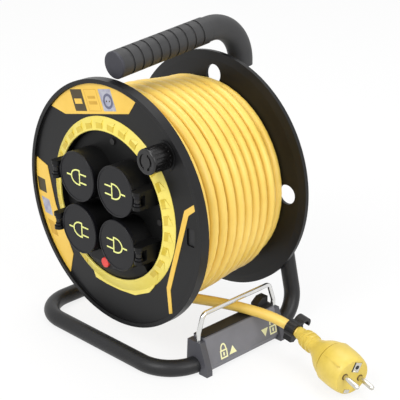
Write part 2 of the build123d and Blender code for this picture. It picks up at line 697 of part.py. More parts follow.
with BuildPart() as knob_pin:
    knob_x = KNOB_CIRCLE_R * cos(radians(KNOB_ANGLE))
    knob_z = KNOB_CIRCLE_R * sin(radians(KNOB_ANGLE))
    pin_tip = KNOB_FRONT + 4.5
    extrude(ring(front(FACE_DEPTH + WEB + 2, knob_x, knob_z), KNOB_PIN_R + 2.5), amount=2)
    extrude(ring(front(FACE_DEPTH + WEB + 2, knob_x, knob_z), KNOB_PIN_R),
            amount=FACE_DEPTH + WEB + 2 - pin_tip)
    extrude(ring(front(pin_tip + 2, knob_x, knob_z), KNOB_PIN_R + 1), amount=2)
finish(knob_pin, "knob_pin")

with BuildPart() as crank_knob:
    knob_back = FACE_DEPTH - COLLAR_T - FITS
    extrude(ring(front(knob_back, knob_x, knob_z), KNOB_R), amount=knob_back - KNOB_FRONT)
    fillet(crank_knob.faces().sort_by(Axis.Y)[0].edges(), 1.5)
    extrude(ring(front(FACE_DEPTH, knob_x, knob_z), KNOB_PIN_R + RUNNING_GAP),
            amount=FACE_DEPTH - pin_tip - 1, mode=Mode.SUBTRACT)
    extrude(ring(front(pin_tip + 2 + FITS, knob_x, knob_z), KNOB_PIN_R + 1 + FITS),
            amount=2 + 2 * FITS, mode=Mode.SUBTRACT)
    # two curved grooves in the face, and fine flutes round the side
    with BuildSketch(front(KNOB_FRONT, knob_x, knob_z)):
        Circle(0.66 * KNOB_R)
        Circle(0.47 * KNOB_R, mode=Mode.SUBTRACT)
        Rectangle(0.35 * KNOB_R, 2 * KNOB_R, mode=Mode.SUBTRACT)
    extrude(amount=-1.2, mode=Mode.SUBTRACT)
    with BuildSketch(front(knob_back - 2.5, knob_x, knob_z)):
        with PolarLocations(KNOB_R + 0.25, 18):
            Circle(0.8)
    extrude(amount=knob_back - KNOB_FRONT - 6, mode=Mode.SUBTRACT)
finish(crank_knob, "crank_knob")


# ---- Cord guide on the right rail --------------------------------------------------------------
def across_rail(y):
    """Plane across the right rail, seen from the front, with its origin on the floor."""
    return Plane(origin=(RAIL_X, y, 0), x_dir=(1, 0, 0), z_dir=(0, -1, 0))


GUIDE_SECTION = [(-10.5, 1.5), (-8.5, GUIDE_TOP_Z), (6.5, GUIDE_TOP_Z), (12.4, 7), (10, 1.5)]
END_SECTION = [(-11.5, 0), (-9.5, END_TOP_Z), (6.5, END_TOP_Z), (11, 20), (16, 5), (16, 0)]
SHELL_FRONT_Y = GUIDE_FRONT_Y + END_T
SHELL_BACK_Y = GUIDE_BACK_Y - END_T

with BuildPart() as guide_shell:
    shell_length = SHELL_BACK_Y - SHELL_FRONT_Y
    with BuildSketch(across_rail(SHELL_BACK_Y)) as shell_section:
        with BuildLine():
            Polyline(*GUIDE_SECTION, close=True)
        make_face()
        offset(amount=-GUIDE_WALL, mode=Mode.SUBTRACT)
    extrude(amount=shell_length)
    sweep(square_to(loop.line, TUBE_R), path=loop.line, mode=Mode.SUBTRACT)
finish(guide_shell, "guide_shell")

with BuildPart() as guide_pad:
    with BuildSketch(across_rail(SHELL_BACK_Y)):
        with Locations((-1.9, GUIDE_TOP_Z + PAD_T / 2)):
            Rectangle(13, PAD_T)
    extrude(amount=shell_length)
finish(guide_pad, "guide_pad")

with BuildPart() as guide_lug:
    side_on = Plane(origin=(RAIL_X - 10.4, 0, 0), x_dir=(0, 1, 0), z_dir=(1, 0, 0))
    extrude(outline(side_on, (17, GUIDE_TOP_Z + PAD_T), (SHELL_BACK_Y, GUIDE_TOP_Z + PAD_T),
                    (SHELL_BACK_Y, 43), (24, 43), (17, 38)), amount=8.4)
    extrude(outline(side_on, (17, GUIDE_TOP_Z), (SHELL_BACK_Y, GUIDE_TOP_Z),
                    (SHELL_BACK_Y, GUIDE_TOP_Z + PAD_T), (17, GUIDE_TOP_Z + PAD_T)), amount=1.9)
finish(guide_lug, "guide_lug")

for end_name, back_y in (("guide_front_end", SHELL_FRONT_Y), ("guide_rear_end", GUIDE_BACK_Y)):
    with BuildPart() as guide_end:
        extrude(outline(across_rail(back_y), *END_SECTION), amount=END_T)
        sweep(square_to(loop.line, TUBE_R), path=loop.line, mode=Mode.SUBTRACT)
        # the end piece is open below, where it is pushed on to the rail
        with BuildSketch(across_rail(back_y)):
            Rectangle(1.3 * TUBE_R, TUBE_R)
        extrude(amount=END_T, mode=Mode.SUBTRACT)
        bore = Plane(origin=(WIRE_X, back_y - END_T / 2, END_TOP_Z))
        extrude(ring(bore, WIRE_R + RUNNING_GAP), amount=-(END_TOP_Z - 2 * TUBE_R - 1.2),
                mode=Mode.SUBTRACT)
    finish(guide_end, end_name)

with BuildPart() as guide_wire:
    foot_front = SHELL_FRONT_Y - END_T / 2
    foot_back = GUIDE_BACK_Y - END_T / 2
    foot_z = 2 * TUBE_R + 2 + WIRE_TRAVEL
    shoulder_z = END_TOP_Z + WIRE_TRAVEL + 1.5
    lean = 6.0
    with BuildLine(mode=Mode.PRIVATE) as wire:
        FilletPolyline(
            (WIRE_X, foot_front, foot_z), (WIRE_X, foot_front, shoulder_z),
            (WIRE_X, foot_front + lean, WIRE_TOP_Z), (WIRE_X, foot_back - lean, WIRE_TOP_Z),
            (WIRE_X, foot_back, shoulder_z), (WIRE_X, foot_back, foot_z),
            radius=[4, 6, 6, 4],
        )
    sweep(square_to(wire.line, WIRE_R), path=wire.line)
finish(guide_wire, "guide_wire")


# ---- Free cord, clip and plug ------------------------------------------------------------------
CORD_ROUTE = [
    (0, -50, AXLE_Z - WINDING_R - 5.7), (26, -41, 45.4), (50, -27, 45.1), (74, -13.5, 44.0), (97, -2, 42.0),
    (115, 6.5, 39.0), (130, 12, 35.4), (144, 14.5, 31), (157.5, 14.2, 28.2),
]


def bend_radii(points):
    """Largest even bend at each corner of a route: 0.45 of the shorter run."""
    corners = [Vector(*p) for p in points]
    runs = [b - a for a, b in zip(corners, corners[1:])]
    radii = []
    for before, after in zip(runs, runs[1:]):
        turn = radians(before.get_angle(after))
        radii.append(0.45 * min(before.length, after.length) / tan(turn / 2))
    return radii


with BuildPart() as free_cord:
    cord_bends = bend_radii(CORD_ROUTE)
    with BuildLine(mode=Mode.PRIVATE) as cord_line:
        FilletPolyline(*CORD_ROUTE, radius=cord_bends)
    sweep(square_to(cord_line.line, CORD_R), path=cord_line.line)
finish(free_cord, "free_cord")
cord_length = sum(edge.length for edge in cord_line.line.edges())
by_volume = free_cord.part.volume / (pi * CORD_R ** 2)
print("cord bends", [round(r) for r in cord_bends])
print("cord length", round(cord_length, 1), "from volume", round(by_volume, 1))

cord_end = cord_line.line @ 1
plug_way = Vector(0.968, -0.2, 0)
RELIEF_LENGTH = 24.0
PLUG_LENGTH = 50.0


def along_plug(distance):
    return Plane(origin=cord_end + plug_dir * distance, x_dir=(0.2, 0.968, 0), z_dir=plug_dir)


drop = cord_end.Z - PLUG_R
plug_dir = Vector(0.968, -0.2, -drop / (RELIEF_LENGTH + PLUG_LENGTH)).normalized()
PLUG_AXIS = Axis(cord_end, plug_dir)
PLUG_SECTION = Plane(origin=cord_end, x_dir=plug_dir, z_dir=plug_dir.cross(Vector(0.2, 0.968, 0)))

with BuildPart() as plug_relief:
    extrude(ring(along_plug(-3), CORD_R + 2.4), amount=RELIEF_LENGTH + 3, taper=-2)
    for groove in range(4):
        extrude(ring(along_plug(2 + 5 * groove), CORD_R + 6, CORD_R + 1.5), amount=1.6,
                mode=Mode.SUBTRACT)
    add(free_cord.part, mode=Mode.SUBTRACT)
finish(plug_relief, "plug_relief")


def turned(node, profile):
    """Solid of revolution about the plug's axis from (distance, radius) pairs."""
    first, last = profile[0][0], profile[-1][0]
    with BuildPart() as solid:
        with BuildSketch(PLUG_SECTION):
            with BuildLine():
                Polyline((first, 0), *profile, (last, 0), close=True)
            make_face()
        revolve(axis=PLUG_AXIS)
    finish(solid, node)
    return solid


CAP_START = RELIEF_LENGTH + 22
PLUG_END = RELIEF_LENGTH + PLUG_LENGTH
plug_body = turned("plug_body", [
    (RELIEF_LENGTH, 9.0), (RELIEF_LENGTH + 4, 10.5), (RELIEF_LENGTH + 10, 14.5),
    (RELIEF_LENGTH + 16, 17.2), (CAP_START, 18.6),
])
plug_cap = turned("plug_cap", [
    (CAP_START, 19.4), (CAP_START + 1.2, PLUG_R - 0.2), (PLUG_END - 8, PLUG_R - 0.2),
    (PLUG_END - 1.5, PLUG_R - 1.2), (PLUG_END, PLUG_R - 2.8),
])

with BuildPart() as plug_pins:
    with BuildSketch(along_plug(RELIEF_LENGTH + PLUG_LENGTH)):
        with GridLocations(PIN_SPACING, 1, 2, 1):
            Circle(PLUG_PIN_R)
    extrude(amount=19)
    fillet(plug_pins.faces().group_by(Axis(cord_end, plug_dir))[-1].edges(), 0.8)
finish(plug_pins, "plug_pins")

with BuildPart() as plug_earth_clip:
    with BuildSketch(along_plug(PLUG_END)):
        with Locations((0, 14.2), (0, -14.2)):
            Rectangle(4.5, 5.5)
    extrude(amount=0.8)
finish(plug_earth_clip, "plug_earth_clip")

CLIP_SPOT = 0.86
with BuildPart() as cord_clip:
    grip_at = Plane(origin=cord_line.line @ CLIP_SPOT, x_dir=(0, 1, 0), z_dir=cord_line.line % CLIP_SPOT)
    with BuildSketch(grip_at) as clip_section:
        Circle(CORD_R + 3)
        # empty jaw behind the cord, open towards the back
        with Locations((2 * CORD_R + 3.5, 0)):
            Circle(CORD_R + 3)
            Circle(CORD_R, mode=Mode.SUBTRACT)
        with Locations((3 * CORD_R + 6, -2)):
            Rectangle(8, 7, mode=Mode.SUBTRACT)
        # finger below
        with Locations((-3.5, -CORD_R - 4.5)):
            Rectangle(4.5, 7)
        Circle(CORD_R + RUNNING_GAP, mode=Mode.SUBTRACT)
    extrude(amount=CLIP_WIDTH / 2, both=True)
finish(cord_clip, "cord_clip")
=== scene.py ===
"""Looks of an open-frame extension cord reel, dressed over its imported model.

The frame is in metres: +Z is up, the sockets face -Y and the drum turns about the line X = 0,
Z = 0.142.
"""

from math import cos, pi, radians, sin

import bpy
from mathutils import Matrix, Vector


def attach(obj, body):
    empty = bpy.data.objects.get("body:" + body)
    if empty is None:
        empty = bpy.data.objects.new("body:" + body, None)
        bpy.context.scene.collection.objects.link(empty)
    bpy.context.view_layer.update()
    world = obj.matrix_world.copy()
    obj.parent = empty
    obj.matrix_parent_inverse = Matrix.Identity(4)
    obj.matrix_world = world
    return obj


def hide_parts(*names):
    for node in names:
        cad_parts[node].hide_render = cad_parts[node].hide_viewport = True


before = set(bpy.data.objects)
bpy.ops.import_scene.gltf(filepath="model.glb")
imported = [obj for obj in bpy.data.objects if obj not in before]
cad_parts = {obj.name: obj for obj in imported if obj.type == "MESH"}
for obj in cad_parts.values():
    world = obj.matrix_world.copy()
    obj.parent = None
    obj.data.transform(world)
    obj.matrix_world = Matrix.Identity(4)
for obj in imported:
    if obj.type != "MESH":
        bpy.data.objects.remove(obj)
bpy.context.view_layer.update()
scene = bpy.context.scene
MM = 0.001
WELD = 0.00001          # metres within which two corners are one
AXLE_Z = 142.0          # height of the drum's axis
RIM_Y = -80.0           # front edge of the front flange

# ---- Camera: front right of the reel, looking down a little --------------------------------------
camera = bpy.data.objects.new("camera", bpy.data.cameras.new("camera"))
scene.collection.objects.link(camera)
scene.camera = camera
camera.data.lens = 117.0
camera.data.sensor_width = 36.0
camera.matrix_world = (
    Matrix.Translation((0.86070, -0.79639, 0.60614))
    @ Matrix.Rotation(radians(45.99), 4, "Z")
    @ Matrix.Rotation(radians(67.64), 4, "X")
    @ Matrix.Rotation(radians(-0.55), 4, "Z")
)


# ---- Cords ---------------------------------------------------------------------------------------
CORD_R = 5.0


def lead(name, points, steps):
    """Round lead along a smooth spline whose control points are given in millimetres."""
    curve = bpy.data.curves.new(name, "CURVE")
    curve.dimensions = "3D"
    curve.bevel_depth = 1.0
    curve.bevel_resolution = 4
    curve.use_fill_caps = True
    spline = curve.splines.new("NURBS")
    spline.points.add(len(points) - 1)
    for control, point in zip(spline.points, points):
        control.co = (*(Vector(point) * MM), 1)
        control.radius = CORD_R * MM
    spline.order_u = 3
    spline.use_endpoint_u = True
    spline.resolution_u = steps
    made = bpy.data.objects.new(name, curve)
    scene.collection.objects.link(made)
    return made


def eased(value, start, end):
    """0 before start, 1 after end, and a smooth rise between."""
    share = min(1.0, max(0.0, (value - start) / (end - start)))
    return 0.5 - 0.5 * cos(pi * share)


# Four layers of turns, each a radius, a depth behind the rim and its layer's number. The first layer
# is loose. A turn lies against the next and steps sideways on the left of the drum, where it climbs
# over the layer below.
PITCH = 11.34                           # from turn to turn
OUTER_PITCH = 11.5                      # in the outermost layer
FRONT_TURN, REAR_TURN = 15.3, 128.7     # depths of the turns beside the flanges
turns = [(61.25 + 2.6 * number, 21.0 + 18.0 * number, 0) for number in range(6)]
turns += [(82.4, REAR_TURN - PITCH * (number + 0.5), 1) for number in range(10)]
turns += [(90.6, FRONT_TURN + PITCH * number, 2) for number in range(11)]
turns += [(96.0 + 5.5 * eased(number, 0, 5.5), 114.0 - OUTER_PITCH * number, 3)
          for number in range(9)]
turns.append((96.7, 30.0, 3))           # the turn that leaves the drum
POINTS_A_TURN = 16
SPLINE_INSIDE = 0.981                   # share of its control points' radius that a spline reaches
DRUM_EXIT = (0, -50, 45.3)
winding = []
for (radius, depth, layer), following in zip(turns, turns[1:]):
    leaving = following is turns[-1]
    step_from, step_to = (270, 360) if leaving else (240, 320)
    for point in range(POINTS_A_TURN):
        swept = 360 / POINTS_A_TURN * point
        across = eased(swept, step_from, step_to)
        reach = radius + (following[0] - radius) * across
        if not leaving:                 # over the turns of the layer below
            reach += 1.75 * layer * sin(pi * min(1, max(0, (swept - 240) / 80))) ** 2
        reach /= SPLINE_INSIDE
        angle = radians(270 + swept)
        winding.append((reach * cos(angle), RIM_Y + depth + (following[1] - depth) * across,
                        AXLE_Z + reach * sin(angle)))
winding.append(DRUM_EXIT)

wound_lead = lead("wound_lead", winding, 3)
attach(wound_lead, "drum")
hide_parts("wound_cord")

PLUG_START = (157.5, 14.2, 29.2)
free_lead = lead("free_lead", [
    DRUM_EXIT, (26, -41, 45.4), (50, -27, 45.1), (74, -13.5, 44.0), (97, -2, 42.0),
    (115, 6.5, 39.2), (130, 12, 35.9), (144, 14.5, 31.9), PLUG_START,
], 12)
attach(free_lead, "frame")
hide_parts("free_cord")


# ---- Materials -----------------------------------------------------------------------------------
def paint(hexa):
    """Linear colour of an sRGB hex value."""
    parts = [int(hexa[at:at + 2], 16) / 255 for at in (1, 3, 5)]
    return (*(c / 12.92 if c <= 0.04045 else ((c + 0.055) / 1.055) ** 2.4 for c in parts), 1.0)


def add(tree, kind, inputs=None, **settings):
    """Adds a node with its settings. An input takes a value or another node's output."""
    made = tree.nodes.new(kind)
    for name, value in settings.items():
        setattr(made, name, value)
    for socket, value in (inputs or {}).items():
        if isinstance(value, bpy.types.NodeSocket):
            tree.links.new(value, made.inputs[socket])
        else:
            made.inputs[socket].default_value = value
    return made


def finish(name, low, high, roughness, patches, grain, relief, rounding=0.0, **sockets):
    """Material whose colour drifts between two tones over patches, with a fine relief of grain.

    Patches, grain, relief and the rounding of edges are millimetres on the real piece.
    """
    made = bpy.data.materials.new(name)
    made.use_nodes = True
    tree = made.node_tree
    shader = tree.nodes["Principled BSDF"]
    place = add(tree, "ShaderNodeTexCoord").outputs["Object"]
    drift = add(tree, "ShaderNodeTexNoise", {"Vector": place, "Scale": 1 / (patches * MM),
                                             "Detail": 3.0, "Roughness": 0.6})
    spread = add(tree, "ShaderNodeMapRange", {"Value": drift.outputs["Fac"], "From Min": 0.32,
                                              "From Max": 0.68})
    # sockets 0, 6, 7 and 2 of a colour mix: factor, both colours and the result
    tone = add(tree, "ShaderNodeMix", {0: spread.outputs["Result"], 6: paint(low), 7: paint(high)},
               data_type="RGBA")
    tree.links.new(tone.outputs[2], shader.inputs["Base Color"])
    gloss = add(tree, "ShaderNodeMapRange", {"Value": drift.outputs["Fac"],
                                             "To Min": roughness * 0.88, "To Max": roughness * 1.12})
    tree.links.new(gloss.outputs["Result"], shader.inputs["Roughness"])
    fine = add(tree, "ShaderNodeTexNoise", {"Vector": place, "Scale": 1 / (grain * MM), "Detail": 2.0})
    bump = add(tree, "ShaderNodeBump", {"Height": fine.outputs["Fac"], "Strength": 1.0,
                                        "Distance": relief * MM})
    if rounding:
        edge = add(tree, "ShaderNodeBevel", {"Radius": rounding * MM}, samples=4)
        tree.links.new(edge.outputs["Normal"], bump.inputs["Normal"])
    tree.links.new(bump.outputs["Normal"], shader.inputs["Normal"])
    for socket, value in sockets.items():
        shader.inputs[socket.replace("_", " ")].default_value = value
    return made


# Black ABS, injection moulded with a fine spark-eroded texture: soft, broad highlights.
black_abs = finish("black_abs_moulded", "#0d0d0e", "#131314", 0.40, 40, 0.9, 0.035, 0.35,
                   Specular_IOR_Level=0.30)
# The same ABS with a polished tool, on the round covers: slightly bluer and smoother.
cover_abs = finish("black_abs_covers", "#101013", "#151518", 0.36, 30, 0.8, 0.02, 0.35,
                   Specular_IOR_Level=0.26)
# The same ABS on the crank knob, polished glossier by the hand that turns it.
knob_abs = finish("black_abs_knob", "#0a0909", "#0f0e0e", 0.24, 25, 0.8, 0.015, 0.4)
# Deep black parts inside the dish, left rough by the tool.
dark_abs = finish("black_abs_dish", "#0b0b0b", "#101010", 0.48, 40, 0.9, 0.03, 0.3,
                  Specular_IOR_Level=0.25)
# Grey ABS of the cord guide, matt, with faint flow marks.
grey_abs = finish("grey_abs_guide", "#6a6a70", "#75757b", 0.45, 35, 0.8, 0.03, 0.4)
# The same ABS, darker, on the guide's ends.
end_abs = finish("dark_grey_abs_ends", "#45454b", "#4e4e54", 0.45, 30, 0.8, 0.03, 0.4)
# Powder coat on bent steel tube: satin, with a little orange peel.
powder_coat = finish("powder_coat_black", "#1a1a1b", "#202022", 0.42, 60, 2.2, 0.10, 0.0,
                     Specular_IOR_Level=0.34)
# Thermoplastic rubber of the grip: matt, slightly greyed where hands rub it.
grip_rubber = finish("grip_rubber", "#2b2b2c", "#343435", 0.58, 25, 0.7, 0.06, 0.5)
# The grip's end cap: the same rubber, a little bluer.
cap_rubber = finish("cap_rubber", "#2c2c34", "#34343c", 0.55, 25, 0.8, 0.04, 0.5)
# PVC sheath of the cord, drawn smooth: a soft gloss along its length.
cord_pvc = finish("cord_sheath_pvc", "#ebc558", "#f4d26c", 0.38, 45, 1.6, 0.05, 0.0)
# Yellow gloss ABS of the trim ring.
ring_abs = finish("trim_yellow_abs", "#e8d45c", "#efde70", 0.36, 25, 1.2, 0.03, 0.2)
# The ring's facets, of the same ABS in a deeper yellow: painted shade on the flanks that turn from the
# light.
ring_facet_shade = finish("trim_yellow_abs_facets_painted_shade", "#d2b636", "#dcc346", 0.34, 20, 1.2, 0.03, 0.15)
# Printed vinyl labels: flat warm yellow under a clear film.
label_vinyl = finish("label_vinyl_yellow", "#e9bd46", "#efc656", 0.35, 30, 1.4, 0.01, 0.0)
# Inks printed on the labels, flat and slightly mottled.
label_dark = finish("label_print_brown", "#3b2f10", "#473a16", 0.4, 8, 1.4, 0.01, 0.0)
label_line = finish("label_print_ochre", "#c99a28", "#d3a634", 0.4, 8, 1.4, 0.01, 0.0)
label_grey = finish("label_print_grey", "#8f8fa6", "#b9bac2", 0.35, 7, 1.4, 0.01, 0.0)
label_slate = finish("label_print_slate", "#54566c", "#6a6c84", 0.35, 7, 1.4, 0.01, 0.0)
# Pad-printed pale yellow signs.
sign_ink = finish("sign_ink_pale_yellow", "#e6e886", "#edf096", 0.5, 8, 1.0, 0.01, 0.0)
# The same ink, paler, on the grey guide.
sign_pale = finish("sign_ink_cream", "#eeebb0", "#f4f1c2", 0.5, 8, 1.0, 0.01, 0.0)
# Moulded yellow PVC of the plug: satin.
plug_pvc = finish("plug_pvc_yellow", "#d3b94e", "#dfc65f", 0.42, 18, 1.0, 0.04, 0.4)
# Mouth of each pin in the plug's face: the same PVC, darkened as painted shade.
plug_shade = finish("plug_pvc_mouth_painted_shade", "#5e4712", "#6d5418", 0.55, 8, 1.0, 0.02, 0.0)
# Chromed steel wire of the guide, clean and mirror bright.
chrome = finish("chrome_wire", "#d8d8d6", "#e4e4e2", 0.12, 20, 1.0, 0.005, 0.0, Metallic=1.0)
# Nickel plated brass of the plug's pins and earth contacts.
nickel = finish("nickel_plate", "#c9c6bc", "#d8d5cc", 0.22, 10, 0.8, 0.008, 0.2, Metallic=1.0)
# Zinc plated steel of screws, bolt and nut: grey with a faint bloom.
zinc = finish("zinc_plate", "#a9abae", "#bcbec0", 0.34, 6, 0.6, 0.01, 0.2, Metallic=1.0)
# Blackened steel of the hinge pins, springs and plate screws: dull, faintly brown.
black_oxide = finish("black_oxide_steel", "#1b1a1a", "#242221", 0.45, 8, 0.6, 0.02, 0.1)
# Drawn brass strip of the contacts.
brass = finish("brass_strip", "#b8924a", "#c9a65a", 0.32, 8, 0.6, 0.01, 0.0, Metallic=1.0)
# Natural acetal of the bushes and the terminal block.
acetal = finish("acetal_natural", "#d3d3cc", "#dcdcd6", 0.45, 12, 0.8, 0.01, 0.2)
# Glossy red plastic of the reset button.
red_button = finish("reset_red", "#d8322c", "#e8463f", 0.3, 5, 0.8, 0.01, 0.3)
# Soft black rubber of the inlet and pads: matt, with a grainy skin. The same finish is painted shade
# on the dark plates in the flange's window, beside the plug's earth plates and in the reset slot.
soft_black_and_shade = finish("rubber_black_and_painted_shade", "#1a1a1b", "#202021", 0.6, 12, 0.8, 0.05, 0.3)

finishes = {
    powder_coat: ("upright_tube", "base_frame", "hub_bracket"),
    grip_rubber: ("handle_grip",),
    cap_rubber: ("grip_end_cap",),
    black_abs: ("front_flange", "rear_flange", "drum_core", "axle_spacer"),
    knob_abs: ("crank_knob",),
    dark_abs: ("socket_1", "socket_2", "socket_3", "socket_4", "thermal_cutout"),
    cover_abs: ("cover_1", "cover_2", "cover_3", "cover_4"),
    soft_black_and_shade: ("cord_inlet", "guide_pad", "guide_lug"),
    label_vinyl: ("top_label", "left_label", "side_stripe"),
    grey_abs: ("guide_shell",),
    end_abs: ("guide_front_end", "guide_rear_end"),
    chrome: ("guide_wire",),
    zinc: ("axle_bolt", "axle_nut", "core_screws", "knob_pin"),
    black_oxide: ("plate_screws", "hinge_pins", "cover_springs"),
    brass: ("earth_clip_1", "earth_clip_2", "earth_clip_3", "earth_clip_4", "live_bar",
            "neutral_bar", "earth_bar", "socket_contacts"),
    acetal: ("hub_bushes", "terminal_block"),
    red_button: ("reset_button",),
    cord_pvc: ("wound_cord", "free_cord", "cord_tail", "inner_wires"),
}
for material, names in finishes.items():
    for name in names:
        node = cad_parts[name]
        for holder in node.material_slots:
            holder.material = material
for piece in (wound_lead, free_lead):
    piece.data.materials.append(cord_pvc)


# ---- Modelling: plates drawn corner by corner, and turned shapes ---------------------------------
def only(piece):
    """Selects the piece alone and makes it the active one."""
    bpy.ops.object.select_all(action="DESELECT")
    piece.select_set(True)
    bpy.context.view_layer.objects.active = piece


def traced(name, path):
    """New mesh: a line extruded from point to point, left selected in edit mode."""
    bpy.ops.object.select_all(action="DESELECT")
    bpy.ops.mesh.primitive_plane_add(size=MM)
    line = bpy.context.object
    line.name = name
    bpy.ops.object.mode_set(mode="EDIT")
    bpy.ops.mesh.select_all(action="SELECT")
    bpy.ops.mesh.merge(type="CENTER")
    bpy.ops.transform.translate(value=path[0])
    for before, after in zip(path, path[1:]):
        bpy.ops.mesh.extrude_region_move(TRANSFORM_OT_translate={"value": after - before})
    bpy.ops.mesh.select_all(action="SELECT")
    return line


def drawn(name, corners, thickness, stroke=0.0):
    """Plate through the corners on the XY plane, thick along +Z. A stroke leaves only its rim."""
    path = [Vector((x, y, 0)) * MM for x, y in corners]
    plate = traced(name, path + path[:1])
    bpy.ops.mesh.remove_doubles(threshold=WELD)
    bpy.ops.mesh.edge_face_add()
    if stroke:
        bpy.ops.mesh.inset(thickness=stroke * MM, use_boundary=True)
        bpy.ops.mesh.delete(type="FACE")
    bpy.ops.mesh.select_all(action="SELECT")
    bpy.ops.mesh.extrude_region_move(TRANSFORM_OT_translate={"value": (0, 0, thickness * MM)})
    bpy.ops.mesh.select_all(action="SELECT")
    bpy.ops.mesh.normals_make_consistent(inside=False)
    bpy.ops.object.mode_set(mode="OBJECT")
    return plate


def turned(name, profile, steps, closed_on_axis=True):
    """Shape turned about X from (distance, radius) pairs: solid to the axis, or a hollow ring."""
    path = [Vector((along, 0, radius)) * MM for along, radius in profile]
    if closed_on_axis:
        path = [Vector((path[0].x, 0, 0))] + path + [Vector((path[-1].x, 0, 0))]
    else:
        path.append(path[0])
    shape = traced(name, path)
    bpy.ops.mesh.spin(steps=steps, angle=2 * pi, center=(0, 0, 0), axis=(1, 0, 0))
    bpy.ops.mesh.select_all(action="SELECT")
    bpy.ops.mesh.remove_doubles(threshold=WELD)
    bpy.ops.mesh.normals_make_consistent(inside=False)
    bpy.ops.object.mode_set(mode="OBJECT")
    bpy.ops.object.shade_smooth_by_angle(angle=radians(32))
    return shape


def joined(name, parts):
    """One piece from several, under a new name."""
    bpy.ops.object.select_all(action="DESELECT")
    for part in parts:
        part.select_set(True)
    bpy.context.view_layer.objects.active = parts[0]
    bpy.ops.object.join()
    parts[0].name = name
    return parts[0]


def placed(piece, matrix, material, body):
    """Puts the piece's place in its mesh, and gives it its finish and its body."""
    piece.data.transform(matrix)
    piece.data.update()
    piece.data.materials.clear()
    piece.data.materials.append(material)
    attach(piece, body)
    return piece


def copied(piece, name):
    """Twin of the piece with a mesh of its own."""
    twin = piece.copy()
    twin.data = piece.data.copy()
    twin.name = name
    scene.collection.objects.link(twin)
    return twin


def outwards(piece):
    """Faces turned outwards again, after a mirror."""
    only(piece)
    bpy.ops.object.mode_set(mode="EDIT")
    bpy.ops.mesh.select_all(action="SELECT")
    bpy.ops.mesh.normals_make_consistent(inside=False)
    bpy.ops.object.mode_set(mode="OBJECT")


def facing_front(x, y, z, flip=1):
    """Drawing plane seen from the front: its x to the right, its y up, its thickness towards -Y."""
    return Matrix(((flip, 0, 0, x * MM), (0, 0, -1, y * MM), (0, 1, 0, z * MM), (0, 0, 0, 1)))


def arc(centre_x, centre_y, radius_x, radius_y, first, last, count):
    """Corners along an arc, angles in degrees."""
    spots = []
    for number in range(count + 1):
        angle = radians(first + (last - first) * number / count)
        spots.append((centre_x + radius_x * cos(angle), centre_y + radius_y * sin(angle)))
    return spots


def bar(x, y, width, height):
    """Corners of a rectangle from its lower left one."""
    return [(x, y), (x + width, y), (x + width, y + height), (x, y + height)]


# Plug sign on each cover: a D with two prongs and a stub of cord.
SIGN_T = 0.15           # thickness of the ink, drawn thick enough to show
plug_sign = joined("plug_sign", [
    drawn("sign_cup", [(-4.8, -8.0)] + arc(-1.7, -0.25, 10.0, 7.75, -90, 90, 14) + [(-4.8, 7.5)],
          SIGN_T, 1.4),
    drawn("sign_prong_a", bar(-13.8, 3.0, 9.2, 1.4), SIGN_T),
    drawn("sign_prong_b", bar(-13.8, -5.4, 9.2, 1.4), SIGN_T),
    drawn("sign_stub", bar(8.1, -0.9, 6.2, 1.5), SIGN_T),
])
COVER_FACE = RIM_Y - 17.6
COVER_X, COVER_UP = 27.0, 26.5          # of each cover's middle, from the axle
for number, (side, level) in enumerate(((-1, 1), (1, 1), (-1, -1), (1, -1)), start=1):
    sign = copied(plug_sign, f"plug_sign_{number}")
    where = facing_front(side * COVER_X, COVER_FACE, AXLE_Z + level * COVER_UP, side)
    placed(sign, where, sign_ink, f"cover_{number}")
    if side < 0:
        outwards(sign)
bpy.data.objects.remove(plug_sign)

# ---- Trim ring: a cone round the dish, with slanted wedge facets and a plain banner below --------
about_axle = Matrix(((0, -1, 0, 0), (1, 0, 0, RIM_Y * MM), (0, 0, 1, AXLE_Z * MM), (0, 0, 0, 1)))
trim_band = turned("trim_band", [
    (-0.4, 72.2), (-1.7, 72.5), (-1.9, 73.2), (1.9, 84.2), (2.7, 85.0), (3.2, 85.0),
], 150, closed_on_axis=False)
placed(trim_band, about_axle, ring_abs, "drum")
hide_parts("trim_ring")

# radius and angle of each outer corner
banner_edge = [(84.5, 248), (88.8, 251), (86.6, 262), (86.0, 274), (88.3, 288.5), (88.3, 303),
               (86.0, 309), (84.5, 312)]
banner = [(radius * cos(radians(turn)), radius * sin(radians(turn))) for radius, turn in banner_edge]
trim_banner = drawn("trim_banner", banner + arc(0, 0, 83.6, 83.6, 311, 249, 20), 1.4)
placed(trim_banner, facing_front(0, RIM_Y + 3.2, AXLE_Z), ring_abs, "drum")

CONE = 0.330            # slope angle of the ring, radians
CONE_R, CONE_OUT = 74.2, 1.52           # a facet's inner edge: radius, and distance before the rim
FACETS = 31
FACET_T = 1.4           # height of each facet's crest
FACET_FOOT = 0.08       # height left where its top meets the ring
BARE_FROM, BARE_TO = 245, 313           # angles between which the banner leaves out the facets


def facet_wedge(name, corners, kept):
    """Plate on the cone whose top slopes down to it, except above the kept corners."""
    wedge = drawn(name, corners, FACET_T)
    only(wedge)
    bpy.ops.object.mode_set(mode="EDIT")
    bpy.ops.mesh.select_all(action="DESELECT")
    bpy.ops.object.mode_set(mode="OBJECT")
    for corner in wedge.data.vertices:      # all of the top but the crest
        crest = any((corner.co.xy / MM - Vector(corners[number])).length < 0.05 for number in kept)
        corner.select = corner.co.z > WELD and not crest
    bpy.ops.object.mode_set(mode="EDIT")
    bpy.ops.transform.translate(value=(0, 0, -(FACET_T - FACET_FOOT) * MM))
    bpy.ops.object.mode_set(mode="OBJECT")
    return wedge


